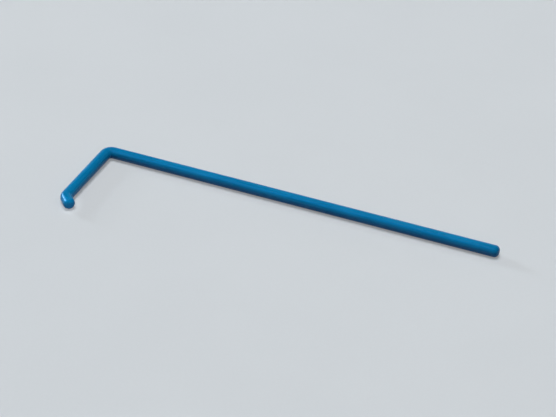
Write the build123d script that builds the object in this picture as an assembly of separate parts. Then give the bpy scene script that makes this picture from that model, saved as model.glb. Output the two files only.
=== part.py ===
from build123d import *
import os

# A disposable cell spreader: one round rod of moulded plastic, bent twice in one plane.
# Along its centre line it is a long straight handle, a tight main bend, a short straight
# blade that wipes the agar, and a turned-up toe that keeps the blade's end from digging in.
# It is stored lying flat. +Z is up, the handle runs along +X and the blade along -Y.
# The origin is on the surface it lies on, under the middle of its bounding box.

# Driving dimensions, in millimetres and degrees.
ROD_DIAMETER = 4.0
HANDLE_LENGTH = 142.0       # main corner of the centre line to the handle's end
BLADE_LENGTH = 30.0         # main corner to the toe's corner, on the centre line
TOE_LENGTH = 5.4            # toe's corner to the toe's end, on the centre line
BLADE_ANGLE = 90.0          # between the handle and the blade, on the inside of the bend
TOE_TURN = 45.0             # how far the toe turns from the blade's line, back to the handle
MAIN_INNER_RADIUS = 0.3     # radius in the crook of the main bend
TOE_INNER_RADIUS = 0.3      # radius in the crook of the toe's bend
END_ROUNDING = 1.5          # radius round the rim of each flat end

ROD_RADIUS = ROD_DIAMETER / 2


def centre_line():
    """The rod's centre line: three straight runs joined by two tangent arcs."""
    handle_end = Vector(HANDLE_LENGTH, 0)
    main_corner = Vector(0, 0)
    blade_direction = Vector(1, 0).rotate(Axis.Z, -BLADE_ANGLE)
    toe_corner = main_corner + blade_direction * BLADE_LENGTH
    toe_direction = blade_direction.rotate(Axis.Z, TOE_TURN)
    toe_end = toe_corner + toe_direction * TOE_LENGTH
    bend_radii = [MAIN_INNER_RADIUS + ROD_RADIUS, TOE_INNER_RADIUS + ROD_RADIUS]
    return FilletPolyline(handle_end, main_corner, toe_corner, toe_end, radius=bend_radii)


def spreader():
    """The whole moulding: a round section swept along the centre line, with soft ends."""
    path = centre_line()
    section = Plane(origin=path @ 0, z_dir=path % 0) * Circle(ROD_RADIUS)
    rod = sweep(section, path=path)
    end_faces = rod.faces().filter_by(GeomType.PLANE)
    return fillet(end_faces.edges(), END_ROUNDING)


def lay_flat(body):
    """Stand the lowest line on z = 0, with the origin under the middle of the outline."""
    box = body.bounding_box()
    return Pos(-box.center().X, -box.center().Y, -box.min.Z) * body


os.makedirs("parts", exist_ok=True)
export_step(lay_flat(spreader()), "parts/spreader.step")
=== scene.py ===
import math

import bpy
import numpy as np
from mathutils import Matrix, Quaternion, Vector


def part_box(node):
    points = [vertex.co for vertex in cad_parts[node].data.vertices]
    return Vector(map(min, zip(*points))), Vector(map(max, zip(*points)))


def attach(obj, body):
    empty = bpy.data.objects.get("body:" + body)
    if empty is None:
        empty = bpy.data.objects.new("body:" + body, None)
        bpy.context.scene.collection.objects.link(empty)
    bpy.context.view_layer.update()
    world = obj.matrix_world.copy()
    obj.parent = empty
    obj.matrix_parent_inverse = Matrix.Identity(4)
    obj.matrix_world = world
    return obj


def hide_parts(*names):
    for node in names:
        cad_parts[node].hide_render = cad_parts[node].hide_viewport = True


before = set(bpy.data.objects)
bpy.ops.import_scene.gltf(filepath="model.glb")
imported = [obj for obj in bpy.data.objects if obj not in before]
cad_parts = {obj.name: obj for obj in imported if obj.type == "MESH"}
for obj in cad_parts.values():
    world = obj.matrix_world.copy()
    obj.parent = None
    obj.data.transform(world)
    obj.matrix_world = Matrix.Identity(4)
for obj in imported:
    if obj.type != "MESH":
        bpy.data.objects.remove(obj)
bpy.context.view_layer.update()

# A disposable cell spreader lying on a pale table: one moulded plastic rod, its handle along +X and its blade
# along -Y. Everything is in metres, and the rod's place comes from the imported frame.

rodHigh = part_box("spreader")[1]
print("frame loaded")

camera = {
    "azimuth": 24.36,        # degrees round from the handle's front, towards its end
    "elevation": 35.08,
    "distance": 0.706,
    "lens": 137.62,          # mm, as is the sensor's width
    "sensorWidth": 36.0,
    "clip": (0.01, 50.0),
    "lookAt": (-0.00395, 0.01189, 0.0),
}

lights = {
    # Name: bearing, elevation and roll in degrees, width and height in metres, share of full light, colour,
    # and what it lights. The last three are seen only as reflections.
    "overheadSoftbox": (170, 85, 0, 1.8, 1.8, 0.70, (0.97, 0.99, 1.0), "surface"),
    "leftSoftbox": (166, 15, 0, 0.74, 0.92, 0.46, (0.85, 0.95, 1.0), "surface"),
    "rightSoftbox": (350, 35, 0, 1.2, 1.2, 0.045, (0.97, 0.99, 1.0), "surface"),
    "leftGlint": (175, 21, 32, 2.3, 0.80, 1.15, (0.34, 0.66, 1.0), "gloss"),
    "toeGlint": (198, 33, 0, 2.0, 1.0, 3.0, (0.10, 0.50, 1.0), "gloss"),
    "handleSheen": (232, 57, 0, 1.4, 1.1, 0.28, (0.02, 0.38, 1.0), "gloss"),
}

studio = {
    "lampDistance": 4.0,
    "floorHalf": 12.0,                    # half the floor's side
    "floorColour": (0.665, 0.690, 0.715),
    "floorShade": (0.650, 0.675, 0.700),  # the faint blotches of its painted face
    "floorGlow": 0.35,                    # the part of its colour that shows in shadow too
    "floorRoughness": (0.70, 0.80),
    "cloudSize": 0.050,
    "cloudShare": 0.6,                    # of the mottle; the specks have the rest
    "speckSize": 0.0009,
    "floorBounce": (0.10, 0.12, 0.22),    # what the floor throws back on the object, dim and cool
    "fillColour": (0.94, 0.98, 1.00),     # the room's own even light
    "fillStrength": 0.14,
    "ceilingColour": (0.05, 0.06, 0.07),
    "horizonColour": (0.66, 0.68, 0.70),  # what stands behind the table in a low view
    "wallTop": (0.14, 0.26),              # sine of the height where the wall starts to fade and where it ends
}


def towards(azimuth, elevation):
    # unit vector for a bearing measured from +X towards +Y, and a height above the horizon
    a, e = math.radians(azimuth), math.radians(elevation)
    return Vector((math.cos(a) * math.cos(e), math.sin(a) * math.cos(e), math.sin(e)))


def placeCamera():
    lens = bpy.data.cameras.new("camera")
    eye = bpy.data.objects.new("camera", lens)
    bpy.context.scene.collection.objects.link(eye)
    back = towards(camera["azimuth"] - 90, camera["elevation"])
    eye.location = Vector(camera["lookAt"]) + back * camera["distance"]
    eye.rotation_euler = (-back).to_track_quat("-Z", "Y").to_euler()
    lens.sensor_width = camera["sensorWidth"]
    lens.lens = camera["lens"]
    lens.clip_start, lens.clip_end = camera["clip"]
    bpy.context.scene.camera = eye


def placeLights():
    for name, (bearing, elevation, roll, width, height, share, colour, lit) in lights.items():
        lamp = bpy.data.lights.new(name, "AREA")
        lamp.shape = "RECTANGLE"
        lamp.size = width
        lamp.size_y = height
        # at a share of 1, a white card that faces the lamp shows white
        lamp.energy = share * math.pi ** 2 * studio["lampDistance"] ** 2
        lamp.color = colour
        stand = bpy.data.objects.new(name, lamp)
        bpy.context.scene.collection.objects.link(stand)
        stand.visible_camera = False
        stand.visible_glossy = lit == "gloss"
        stand.visible_diffuse = lit == "surface"
        away = towards(bearing, elevation)
        stand.location = away * studio["lampDistance"]
        stand.rotation_mode = "QUATERNION"
        aimed = (-away).to_track_quat("-Z", "Y")
        stand.rotation_quaternion = aimed @ Quaternion((0, 0, 1), math.radians(roll))


def newSocket(group, name, way, kind, value=None):
    made = group.interface.new_socket(name=name, in_out=way, socket_type=kind)
    if value is not None:
        made.default_value = value


mottleNoise = {"detail": 3.0, "middle": (0.32, 0.68)}


def mottleGroup():
    # Soft blotches from 0 to 1: noise over Place / Size, drawn out along X by 1 / Along, with its middle
    # stretched to the whole range.
    group = bpy.data.node_groups.new("mottle", "ShaderNodeTree")
    newSocket(group, "Place", "INPUT", "NodeSocketVector")
    newSocket(group, "Size", "INPUT", "NodeSocketFloat", 0.001)
    newSocket(group, "Along", "INPUT", "NodeSocketFloat", 1.0)
    newSocket(group, "Tone", "OUTPUT", "NodeSocketFloat")
    nodes, links = group.nodes, group.links
    inside, outside = nodes.new("NodeGroupInput"), nodes.new("NodeGroupOutput")
    stretch = nodes.new("ShaderNodeCombineXYZ")
    stretch.inputs["Y"].default_value = stretch.inputs["Z"].default_value = 1.0
    links.new(inside.outputs["Along"], stretch.inputs["X"])
    drawn = nodes.new("ShaderNodeVectorMath")
    drawn.operation = "MULTIPLY"
    links.new(inside.outputs["Place"], drawn.inputs[0])
    links.new(stretch.outputs[0], drawn.inputs[1])
    finer = nodes.new("ShaderNodeMath")
    finer.operation = "DIVIDE"
    finer.inputs[0].default_value = 1.0
    links.new(inside.outputs["Size"], finer.inputs[1])
    noise = nodes.new("ShaderNodeTexNoise")
    noise.inputs["Detail"].default_value = mottleNoise["detail"]
    links.new(drawn.outputs[0], noise.inputs["Vector"])
    links.new(finer.outputs[0], noise.inputs["Scale"])
    spread = mapRange(nodes, links, noise.outputs["Fac"], *mottleNoise["middle"], 0.0, 1.0)
    links.new(spread, outside.inputs["Tone"])
    return group


def mottle(nodes, links, place, size, along=1.0):
    made = nodes.new("ShaderNodeGroup")
    made.node_tree = bpy.data.node_groups.get("mottle") or mottleGroup()
    made.inputs["Size"].default_value = size
    made.inputs["Along"].default_value = along
    links.new(place, made.inputs["Place"])
    return made.outputs["Tone"]


def mapRange(nodes, links, value, low, high, toLow, toHigh):
    # a smooth step from toLow at low to toHigh at high
    made = nodes.new("ShaderNodeMapRange")
    made.interpolation_type = "SMOOTHSTEP"
    for socket, number in zip(("From Min", "From Max", "To Min", "To Max"), (low, high, toLow, toHigh)):
        made.inputs[socket].default_value = number
    links.new(value, made.inputs["Value"])
    return made.outputs["Result"]


def weighed(nodes, links, first, second, weight):
    # first + weight * second
    made = nodes.new("ShaderNodeMath")
    made.operation = "MULTIPLY_ADD"
    made.inputs[1].default_value = weight
    links.new(second, made.inputs[0])
    links.new(first, made.inputs[2])
    return made.outputs[0]


def scaled(nodes, links, value, factor):
    made = nodes.new("ShaderNodeMath")
    made.operation = "MULTIPLY"
    made.inputs[1].default_value = factor
    links.new(value, made.inputs[0])
    return made.outputs[0]


def dimmed(nodes, links, colour, factor):
    made = nodes.new("ShaderNodeVectorMath")
    made.operation = "SCALE"
    made.inputs["Scale"].default_value = factor
    links.new(colour, made.inputs[0])
    return made.outputs[0]


def blended(nodes, links, factor, low, high):
    # the colour low where factor is 0 and high where it is 1; each is a colour or another node's output
    made = nodes.new("ShaderNodeMix")
    made.data_type = "RGBA"
    for socket, colour in (("A", low), ("B", high)):
        if isinstance(colour, tuple):
            made.inputs[socket].default_value = (*colour, 1)
        else:
            links.new(colour, made.inputs[socket])
    links.new(factor, made.inputs["Factor"])
    return made.outputs["Result"]


def seenRays(nodes, links):
    # 1 for camera, glossy and transmission rays, 0 for light bounced between surfaces
    path = nodes.new("ShaderNodeLightPath")
    first = nodes.new("ShaderNodeMath")
    first.operation = "ADD"
    links.new(path.outputs["Is Camera Ray"], first.inputs[0])
    links.new(path.outputs["Is Glossy Ray"], first.inputs[1])
    both = nodes.new("ShaderNodeMath")
    both.operation = "ADD"
    both.use_clamp = True
    links.new(first.outputs[0], both.inputs[0])
    links.new(path.outputs["Is Transmission Ray"], both.inputs[1])
    return both.outputs[0]


def buildFloor():
    mesh = bpy.data.meshes.new("floor")
    half = studio["floorHalf"]
    corners = [(-half, -half, 0), (half, -half, 0), (half, half, 0), (-half, half, 0)]
    mesh.from_pydata(corners, [], [(0, 1, 2, 3)])
    floor = bpy.data.objects.new("floor", mesh)
    bpy.context.scene.collection.objects.link(floor)
    made = bpy.data.materials.new("paleTable")
    made.use_nodes = True
    nodes, links = made.node_tree.nodes, made.node_tree.links
    shader = nodes["Principled BSDF"]
    shader.inputs["Specular IOR Level"].default_value = 0.0
    place = nodes.new("ShaderNodeTexCoord").outputs["Object"]
    cloud = mottle(nodes, links, place, studio["cloudSize"])
    speck = mottle(nodes, links, place, studio["speckSize"])
    share = studio["cloudShare"]
    both = weighed(nodes, links, scaled(nodes, links, cloud, share), speck, 1 - share)
    face = blended(nodes, links, both, studio["floorShade"], studio["floorColour"])
    seen = seenRays(nodes, links)
    glow = studio["floorGlow"]
    lit, shown = dimmed(nodes, links, face, 1 - glow), dimmed(nodes, links, face, glow)
    links.new(blended(nodes, links, seen, studio["floorBounce"], lit), shader.inputs["Base Color"])
    links.new(blended(nodes, links, seen, (0, 0, 0), shown), shader.inputs["Emission Color"])
    shader.inputs["Emission Strength"].default_value = 1.0
    links.new(mapRange(nodes, links, speck, 0.0, 1.0, *studio["floorRoughness"]), shader.inputs["Roughness"])
    # the table is clear from below, so the rod's underside can be looked at
    side = nodes.new("ShaderNodeNewGeometry")
    clear = nodes.new("ShaderNodeBsdfTransparent")
    either = nodes.new("ShaderNodeMixShader")
    links.new(side.outputs["Backfacing"], either.inputs[0])
    links.new(shader.outputs[0], either.inputs[1])
    links.new(clear.outputs[0], either.inputs[2])
    links.new(either.outputs[0], nodes["Material Output"].inputs["Surface"])
    mesh.materials.append(made)


def lightWorld():
    # An even fill. Seen directly or in the gloss, the room is a pale wall up to 8 degrees above the horizon,
    # which fades to a dark ceiling at 15 degrees.
    world = bpy.data.worlds.new("studio")
    world.use_nodes = True
    nodes, links = world.node_tree.nodes, world.node_tree.links
    fill = nodes["Background"]
    fill.inputs["Color"].default_value = (*studio["fillColour"], 1)
    fill.inputs["Strength"].default_value = studio["fillStrength"]
    room = nodes.new("ShaderNodeBackground")
    height = nodes.new("ShaderNodeSeparateXYZ")
    links.new(nodes.new("ShaderNodeTexCoord").outputs["Generated"], height.inputs[0])
    overhead = mapRange(nodes, links, height.outputs["Z"], *studio["wallTop"], 0.0, 1.0)
    backdrop = blended(nodes, links, overhead, studio["horizonColour"], studio["ceilingColour"])
    links.new(backdrop, room.inputs["Color"])
    either = nodes.new("ShaderNodeMixShader")
    links.new(seenRays(nodes, links), either.inputs[0])
    links.new(fill.outputs[0], either.inputs[1])
    links.new(room.outputs[0], either.inputs[2])
    links.new(either.outputs[0], nodes["World Output"].inputs["Surface"])
    bpy.context.scene.world = world


bpy.context.scene.view_settings.view_transform = "Standard"
placeCamera()
placeLights()
buildFloor()
lightWorld()
print("studio ready")


rod = {
    "diameter": 0.0040,
    "handle": 0.1420,            # main corner of the centre line to the handle's end
    "blade": 0.0300,             # main corner to the toe's corner
    "toe": 0.0054,               # toe's corner to the toe's end
    "mainBend": 90.0,            # degrees the centre line turns
    "toeBend": 45.0,
    "bendRadius": 0.0023,        # of the centre line, in both bends
    "endRounding": 0.0015,
    "runStep": 0.0005,           # between rings on the handle and the blade
    "bendStep": 0.00008,         # in the bends; the toe has twice this
    "rimRings": 22,              # round each end's rim
    "flatRings": 4,              # on each end's flat middle
    "columns": 96,
    "slack": 1e-12,              # metres allowed where two runs meet
}


def rodRuns():
    # length and turn per metre of each run and arc, from the handle's end; an arc starts tan(turn / 2) radii
    # before its corner
    radius = rod["bendRadius"]
    mainTurn, toeTurn = math.radians(rod["mainBend"]), math.radians(rod["toeBend"])
    mainCut, toeCut = radius * math.tan(mainTurn / 2), radius * math.tan(toeTurn / 2)
    return [
        (rod["handle"] - mainCut, 0.0),
        (radius * mainTurn, 1 / radius),
        (rod["blade"] - mainCut - toeCut, 0.0),
        (radius * toeTurn, 1 / radius),
        (rod["toe"] - toeCut, 0.0),
    ]


def alongRun(ds, bend, facing):
    # how far the place moves in a distance ds from a heading: ds (cos, sin) of the heading on a straight run,
    # and (sin, -cos) of the turned heading less (sin, -cos) of the first one, over the bend, on an arc
    if not bend:
        return ds[:, None] * np.array([math.cos(facing), math.sin(facing)])
    turned = facing + bend * ds
    return np.stack([np.sin(turned) - math.sin(facing), math.cos(facing) - np.cos(turned)], axis=1) / bend


def centreLine(s):
    # place and heading on the centre line at distances s from the handle's end
    place = np.zeros((len(s), 2))
    heading = np.zeros(len(s))
    at = np.array([rodHigh.x, rodHigh.y - rod["diameter"] / 2])
    facing, start = math.pi, 0.0
    for length, bend in rodRuns():
        here = (s >= start - rod["slack"]) & (s <= start + length + rod["slack"])
        place[here] = at + alongRun(s[here] - start, bend, facing)
        heading[here] = facing + bend * (s[here] - start)
        at = at + alongRun(np.array([length]), bend, facing)[0]
        facing += bend * length
        start += length
    return place, heading


def rodStations():
    # Distances along the centre line: runStep apart on the handle and the blade, bendStep in the bends, twice
    # that on the toe, and even steps of angle round the end rims.
    knots = np.cumsum([0.0] + [length for length, bend in rodRuns()])
    total, rounding = knots[-1], rod["endRounding"]
    runStep, bendStep = rod["runStep"], rod["bendStep"]
    rim = rounding * (1 - np.cos(np.linspace(0, math.pi / 2, rod["rimRings"])))
    handle = np.arange(rounding + runStep, knots[1], runStep)
    mainBend = np.arange(knots[1], knots[2], bendStep)
    blade = np.arange(knots[2], knots[3], runStep)
    toeBend = np.arange(knots[3], knots[4], bendStep)
    toe = np.arange(knots[4], total - rounding - bendStep, bendStep * 2)
    return np.concatenate([rim, handle, mainBend, blade, toeBend, toe, total - rim[::-1]]), total


def rodRadius(s, total):
    # full radius, except within the rounding of each end, where it follows a quarter circle into the flat
    rounding = rod["endRounding"]
    into = np.clip(np.minimum(s, total - s), 0, rounding)
    return rod["diameter"] / 2 - rounding + np.sqrt(rounding ** 2 - (rounding - into) ** 2)


def poleFirst(grid):
    # a grid's points in the mesh's order, with its first and last rings given once each
    return np.concatenate([grid[0, :1], grid[1:-1].reshape(-1, grid.shape[2]), grid[-1, :1]])


def tubeMesh(name, rings):
    # Rings x columns x 3 points become quads between neighbouring rings. The first and last rings are
    # shrunk to a point each, and a fan of triangles closes each pole.
    count, columns = rings.shape[:2]
    vertices = poleFirst(rings)
    column = np.arange(columns)
    beside = (column + 1) % columns
    first = 1 + np.arange(count - 3)[:, None] * columns
    following = first + columns
    quads = np.stack([first + column, first + beside, following + beside, following + column], axis=-1)
    last = len(vertices) - 1
    lastRing = last - columns
    startFan = np.stack([np.zeros_like(column), 1 + beside, 1 + column], axis=-1)
    endFan = np.stack([np.full_like(column, last), lastRing + column, lastRing + beside], axis=-1)
    mesh = bpy.data.meshes.new(name)
    faces = quads.reshape(-1, 4).tolist() + startFan.tolist() + endFan.tolist()
    mesh.from_pydata(vertices.tolist(), [], faces)
    mesh.polygons.foreach_set("use_smooth", np.ones(len(mesh.polygons), dtype=bool))
    mesh.update()
    piece = bpy.data.objects.new(name, mesh)
    bpy.context.scene.collection.objects.link(piece)
    return piece


def buildRod():
    # A circle of radius r(s) carried along the centre line: place(s) + r (cos t across + sin t up), where
    # across is the heading turned a quarter to the left.
    s, total = rodStations()
    radius = rodRadius(s, total)
    flat = rod["flatRings"]
    flatEnd = np.linspace(0, rod["diameter"] / 2 - rod["endRounding"], flat + 1)[:-1]
    s = np.concatenate([np.zeros(flat), s, np.full(flat, total)])
    radius = np.concatenate([flatEnd, radius, flatEnd[::-1]])[:, None]
    place, heading = centreLine(s)
    across = np.stack([-np.sin(heading), np.cos(heading)], axis=1)
    t = np.arange(rod["columns"]) * 2 * math.pi / rod["columns"]
    rings = np.empty((len(s), len(t), 3))
    rings[..., :2] = place[:, None, :] + (radius * np.cos(t))[..., None] * across[:, None, :]
    rings[..., 2] = rod["diameter"] / 2 + radius * np.sin(t)
    piece = tubeMesh("spreaderRod", rings)
    straight = np.empty_like(rings)       # the same rod pulled straight, for patterns that follow it
    straight[..., 0] = s[:, None]
    straight[..., 1] = radius * np.cos(t)
    straight[..., 2] = radius * np.sin(t)
    mark = piece.data.attributes.new("alongRod", "FLOAT_VECTOR", "POINT")
    mark.data.foreach_set("vector", poleFirst(straight).astype(np.float32).ravel())
    return piece


toeSpot = {
    "bearing": 292,              # degrees, as for the other lights
    "elevation": 36,
    "distance": 0.5,
    "beamRadius": 0.0045,        # where it meets the toe
    "softEdge": 1.0,             # at 1 the beam fades out all the way from its middle
    "lampRadius": 0.0005,
    "share": 0.27,               # of full light
    "colour": (0.97, 0.99, 1.0),
}


def placeToeSpot():
    # a narrow beam with soft edges, aimed at the middle of the toe's end
    lamp = bpy.data.lights.new("toeSpot", "SPOT")
    lamp.energy = toeSpot["share"] * 4 * math.pi ** 2 * toeSpot["distance"] ** 2
    lamp.color = toeSpot["colour"]
    lamp.shadow_soft_size = toeSpot["lampRadius"]
    lamp.spot_size = 2 * math.atan(toeSpot["beamRadius"] / toeSpot["distance"])
    lamp.spot_blend = toeSpot["softEdge"]
    stand = bpy.data.objects.new("toeSpot", lamp)
    bpy.context.scene.collection.objects.link(stand)
    stand.visible_camera = False
    stand.visible_glossy = False
    away = towards(toeSpot["bearing"], toeSpot["elevation"])
    total = rodStations()[1]
    x, y = centreLine(np.array([total]))[0][0]
    stand.location = Vector((x, y, rod["diameter"] / 2)) + away * toeSpot["distance"]
    stand.rotation_mode = "QUATERNION"
    stand.rotation_quaternion = (-away).to_track_quat("-Z", "Y")


plastic = {
    "deepTone": (0.0006, 0.180, 0.398),
    "paleTone": (0.0016, 0.218, 0.470),
    "shine": 0.20,
    "roughness": (0.25, 0.33),      # in the smooth streaks, and in the dull ones
    "cloudSize": 0.009,             # where the pigment is a little uneven
    "streakWidth": 0.0008,          # flow marks, drawn out along the rod
    "streakStretch": 0.05,
    "grainSize": 0.00030,
    "pigmentShares": (0.55, 0.35, 0.10),    # of clouds, streaks and grain in the colour
    "grainShare": 0.18,             # of the relief below
    "relief": 0.000015,
    "partingWidth": 0.00013,        # the faint line along both sides where the mould's halves met
    "scuffSize": 0.0016,
    "scuffStretch": 0.35,
    "scuffTone": (0.86, 1.0),       # where the mottle is this high, the scuffs come in
    "scuffDulling": 0.08,           # what they add to the roughness
}


def mouldedPlastic():
    # Every pattern follows the rod: X runs along it, and Y and Z across it. Colour = pigment clouds, flow
    # marks and grain between two tones; roughness = flow marks and a few dull scuffs; relief = fine grain
    # and the parting line.
    made = bpy.data.materials.new("tealPlastic")
    made.use_nodes = True
    nodes, links = made.node_tree.nodes, made.node_tree.links
    shader = nodes["Principled BSDF"]
    shader.inputs["Specular IOR Level"].default_value = plastic["shine"]
    mark = nodes.new("ShaderNodeAttribute")
    mark.attribute_name = "alongRod"
    place = mark.outputs["Vector"]
    cloud = mottle(nodes, links, place, plastic["cloudSize"])
    streak = mottle(nodes, links, place, plastic["streakWidth"], plastic["streakStretch"])
    grain = mottle(nodes, links, place, plastic["grainSize"])
    patches = mottle(nodes, links, place, plastic["scuffSize"], plastic["scuffStretch"])
    scuffs = mapRange(nodes, links, patches, *plastic["scuffTone"], 0.0, 1.0)
    cloudShare, streakShare, grainShare = plastic["pigmentShares"]
    pigment = weighed(nodes, links, scaled(nodes, links, cloud, cloudShare), streak, streakShare)
    pigment = weighed(nodes, links, pigment, grain, grainShare)
    colour = blended(nodes, links, pigment, plastic["deepTone"], plastic["paleTone"])
    links.new(colour, shader.inputs["Base Color"])
    smooth, dull = plastic["roughness"]
    roughness = mapRange(nodes, links, streak, 0.0, 1.0, smooth, dull)
    links.new(weighed(nodes, links, roughness, scuffs, plastic["scuffDulling"]), shader.inputs["Roughness"])
    split = nodes.new("ShaderNodeSeparateXYZ")
    links.new(place, split.inputs[0])
    height = nodes.new("ShaderNodeMath")
    height.operation = "ABSOLUTE"
    links.new(split.outputs["Z"], height.inputs[0])
    parting = mapRange(nodes, links, height.outputs[0], 0.0, plastic["partingWidth"], 1.0, 0.0)
    bump = nodes.new("ShaderNodeBump")
    bump.inputs["Distance"].default_value = plastic["relief"]
    links.new(weighed(nodes, links, parting, grain, plastic["grainShare"]), bump.inputs["Height"])
    links.new(bump.outputs["Normal"], shader.inputs["Normal"])
    return made


spreaderRod = buildRod()
spreaderRod.data.materials.append(mouldedPlastic())
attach(spreaderRod, "root")
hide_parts("spreader")
placeToeSpot()
print("rod built")
